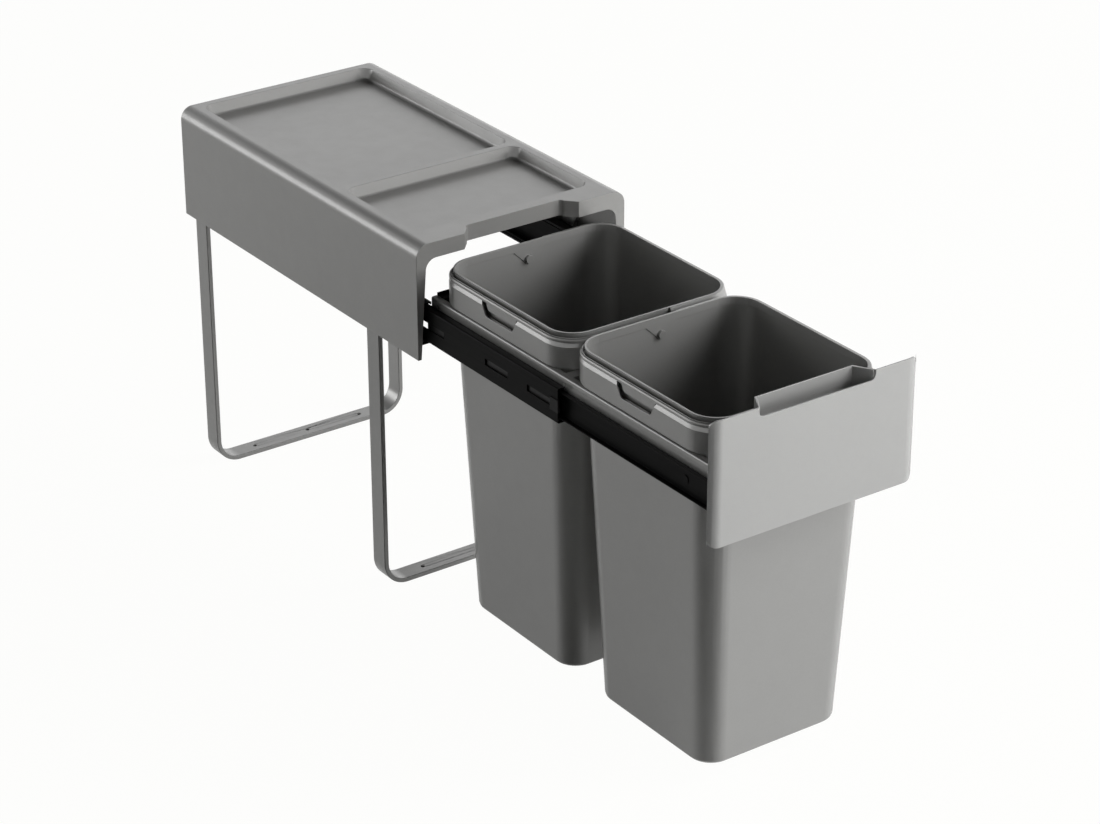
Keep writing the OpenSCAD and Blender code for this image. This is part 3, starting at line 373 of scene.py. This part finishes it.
def dress(node, width, angle=35):
    """A softened piece for the node: its sharp edges get a small radius, and the radii carry the wear and a
    painted edge highlight.
    """
    bm = clean_copy(node)
    if node == "canopy_cover":
        lean_tray_walls(bm)
    limit = math.radians(angle)
    edges = [e for e in bm.edges if len(e.link_faces) == 2 and e.calc_face_angle(0.0) > limit]
    made = bmesh.ops.bevel(bm, geom=edges, offset=width, offset_type="OFFSET", segments=2, profile=0.5,
                           affect="EDGES", clamp_overlap=False, harden_normals=False, loop_slide=True)
    rounded = bm.faces.layers.int.new("rounded")
    for face in made["faces"]:
        if face.is_valid:
            face[rounded] = 1
    bmesh.ops.triangulate(bm, faces=[f for f in bm.faces if len(f.verts) > 4])
    bm.faces.index_update()
    worn_and_highlit = {f.index for f in bm.faces if f[rounded]}
    mesh = bpy.data.meshes.new(f"{node}_piece")
    bm.to_mesh(mesh)
    bm.free()
    # The rounded faces carry the mark for lighter edges: partly real wear, partly a painted highlight
    wear_and_highlight = mesh.attributes.new("wear_and_highlight", "FLOAT", "CORNER")
    for polygon in mesh.polygons:
        if polygon.index in worn_and_highlit:
            for loop in polygon.loop_indices:
                wear_and_highlight.data[loop].value = 1.0
    shade(mesh, worn_and_highlit)
    piece = bpy.data.objects.new(f"{node}_piece", mesh)
    bpy.context.scene.collection.objects.link(piece)
    show_in(piece, slot_of[node])
    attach(piece, body_of[node])
    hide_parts(node)


# Radius on each node's edges
EDGES = {
    "canopy_cover": 0.0004,
    "rear_leg": 0.0006, "front_leg": 0.0006,
    "left_cabinet_member": 0.0002, "right_cabinet_member": 0.0002,
    "left_middle_member": 0.0002, "right_middle_member": 0.0002,
    "left_drawer_member": 0.0002, "right_drawer_member": 0.0002,
    "left_middle_stop": 0.0003, "right_middle_stop": 0.0003,
    "left_rear_buffer": 0.0006, "right_rear_buffer": 0.0006,
    "left_side_rail": 0.0003, "right_side_rail": 0.0003,
    "rear_bar": 0.0003, "middle_bar": 0.0003, "front_bar": 0.0003,
    "front_panel": 0.0005,
    "rear_bin": 0.00025, "front_bin": 0.00025,
    "rear_bin_handle": 0.00025, "front_bin_handle": 0.00025,
    "panel_screws": 0.0003,
}
for node, width in EDGES.items():
    dress(node, width)

for node, obj in frame["nodes"].items():
    if node not in EDGES:
        for index in range(max(1, len(obj.material_slots))):
            if not obj.material_slots:
                obj.data.materials.append(MATERIALS[slot_of[node]])
            else:
                obj.material_slots[index].material = MATERIALS[slot_of[node]]


# Floor, light and camera

# Shares of plain white in the floor, where the camera sees it directly and where a reflection does
WHITE_WHEN_SEEN = 0.975
WHITE_WHEN_REFLECTED = 0.40
# Level direction away from the camera's side of the room; reflected rays from that side find the floor
# dark, a painted dark reflection
AWAY_FROM_DARK_SIDE = (0.817, 0.576, 0.0)


def floor_material():
    """Pale floor: seen directly it is near white, with the object's soft shadow kept on it."""
    tree = Tree("floor")
    diffuse = tree.nodes.new("ShaderNodeBsdfDiffuse")
    diffuse.inputs["Color"].default_value = (0.75, 0.75, 0.74, 1.0)
    glow = tree.nodes.new("ShaderNodeEmission")
    glow.inputs["Color"].default_value = (1.0, 1.0, 0.99, 1.0)
    glow.inputs["Strength"].default_value = 1.0
    path = tree.nodes.new("ShaderNodeLightPath")
    share = tree.math("ADD", tree.math("MULTIPLY", path.outputs["Is Camera Ray"], WHITE_WHEN_SEEN),
                      tree.math("MULTIPLY", path.outputs["Is Glossy Ray"], WHITE_WHEN_REFLECTED))
    mixed = tree.nodes.new("ShaderNodeMixShader")
    tree.links.new(share, mixed.inputs[0])
    tree.links.new(diffuse.outputs["BSDF"], mixed.inputs[1])
    tree.links.new(glow.outputs["Emission"], mixed.inputs[2])
    # Painted dark reflection: reflected rays from the dark side find the floor black, which draws the dark
    # bands on the bins' rounded front left corners
    toward = tree.nodes.new("ShaderNodeVectorMath")
    toward.operation = "DOT_PRODUCT"
    toward.inputs[1].default_value = AWAY_FROM_DARK_SIDE
    tree.links.new(tree.nodes.new("ShaderNodeNewGeometry").outputs["Incoming"], toward.inputs[0])
    painted_dark_reflection = tree.math("MULTIPLY", path.outputs["Is Glossy Ray"],
                     tree.spread(toward.outputs["Value"], 0.0, 1.0, 0.22, 0.62))
    shaded = tree.nodes.new("ShaderNodeMixShader")
    tree.links.new(painted_dark_reflection, shaded.inputs[0])
    tree.links.new(mixed.outputs["Shader"], shaded.inputs[1])
    tree.links.new(shaded.outputs["Shader"], tree.output.inputs["Surface"])
    tree.nodes.remove(tree.shader)
    return tree.material


def make_floor():
    bm = bmesh.new()
    corners = [bm.verts.new(p) for p in ((-9, -9, 0), (9, -9, 0), (9, 9, 0), (-9, 9, 0))]
    bm.faces.new(corners)
    mesh = bpy.data.meshes.new("floor")
    bm.to_mesh(mesh)
    bm.free()
    floor = bpy.data.objects.new("floor", mesh)
    floor.data.materials.append(floor_material())
    bpy.context.scene.collection.objects.link(floor)


def make_world(diffuse_level):
    """White background, which reflections see white up to about 30 degrees and dark higher up."""
    world = bpy.data.worlds.new("studio")
    bpy.context.scene.world = world
    world.use_nodes = True
    nodes, links = world.node_tree.nodes, world.node_tree.links
    nodes.clear()

    def math_node(operation, a, b):
        node = nodes.new("ShaderNodeMath")
        node.operation = operation
        for socket, value in zip(node.inputs, (a, b)):
            if isinstance(value, (int, float)):
                socket.default_value = value
            else:
                links.new(value, socket)
        return node.outputs[0]

    path = nodes.new("ShaderNodeLightPath")
    direction = nodes.new("ShaderNodeSeparateXYZ")
    links.new(nodes.new("ShaderNodeTexCoord").outputs["Generated"], direction.inputs[0])
    ceiling = nodes.new("ShaderNodeMapRange")
    ceiling.interpolation_type = "SMOOTHSTEP"
    for name, number in (("From Min", 0.46), ("From Max", 0.70), ("To Min", 1.0), ("To Max", 0.04)):
        ceiling.inputs[name].default_value = number
    links.new(direction.outputs["Z"], ceiling.inputs["Value"])
    straight = math_node("MAXIMUM", path.outputs["Is Camera Ray"], path.outputs["Is Transmission Ray"])
    glossy = math_node("MULTIPLY", path.outputs["Is Glossy Ray"], ceiling.outputs["Result"])
    unseen = math_node("SUBTRACT", 1.0, math_node("MAXIMUM", straight, path.outputs["Is Glossy Ray"]))
    level = math_node("ADD", math_node("ADD", straight, glossy),
                      math_node("MULTIPLY", unseen, diffuse_level))
    background = nodes.new("ShaderNodeBackground")
    background.inputs["Color"].default_value = (1.0, 1.0, 1.0, 1.0)
    links.new(level, background.inputs["Strength"])
    links.new(background.outputs[0], nodes.new("ShaderNodeOutputWorld").inputs["Surface"])


def softbox(name, place, aim, width, height, power):
    light = bpy.data.lights.new(name, "AREA")
    light.shape = "RECTANGLE"
    light.size = width
    light.size_y = height
    light.energy = power
    obj = bpy.data.objects.new(name, light)
    obj.location = place
    obj.rotation_euler = (Vector(aim) - Vector(place)).to_track_quat("-Z", "Y").to_euler()
    bpy.context.scene.collection.objects.link(obj)
    return obj


MIDDLE = (0.0, -0.42, 0.25)
make_floor()
make_world(0.01)
key = softbox("key", (2.3, -3.6, 0.95), MIDDLE, 3.2, 1.8, 132.0)
softbox("top", (-0.3, -0.5, 3.0), MIDDLE, 2.2, 2.2, 1.5)
right_top = softbox("right_top", (3.2, -2.5, 2.7), MIDDLE, 2.2, 2.2, 150.0)
softbox("left_fill", (-3.0, 2.5, 0.9), MIDDLE, 3.4, 1.6, 34.0)
# Both strong lamps stay out of the reflections, so the cover's top is not burnt out when seen from behind
key.visible_glossy = False
right_top.visible_glossy = False

# The camera fitted to the photo: place, direction, and focal length and picture width in pixels
CAMERA_PLACE = (-1.6761, -2.8563, 1.6549)
FOCAL_PIXELS = 3245.248
PICTURE_PIXELS = 1100.0
SENSOR_MM = 36.0

azimuth, elevation, roll = (math.radians(degrees) for degrees in (-35.18, 26.268, -0.161))
level_back = math.cos(elevation)
back = Vector((math.sin(azimuth) * level_back, -math.cos(azimuth) * level_back, math.sin(elevation)))
right = Vector((math.cos(azimuth), math.sin(azimuth), 0.0))
up = back.cross(right)
right, up = (math.cos(roll) * right + math.sin(roll) * up, math.cos(roll) * up - math.sin(roll) * right)
lens = bpy.data.cameras.new("camera")
lens.sensor_fit = "HORIZONTAL"
lens.sensor_width = SENSOR_MM
lens.lens = SENSOR_MM * FOCAL_PIXELS / PICTURE_PIXELS
lens.clip_start = 0.1
lens.clip_end = 60.0
camera = bpy.data.objects.new("camera", lens)
bpy.context.scene.collection.objects.link(camera)
turn = Matrix((right, up, back)).transposed().to_4x4()
camera.matrix_world = Matrix.Translation(CAMERA_PLACE) @ turn
bpy.context.scene.camera = camera
bpy.context.scene.view_settings.view_transform = "Standard"
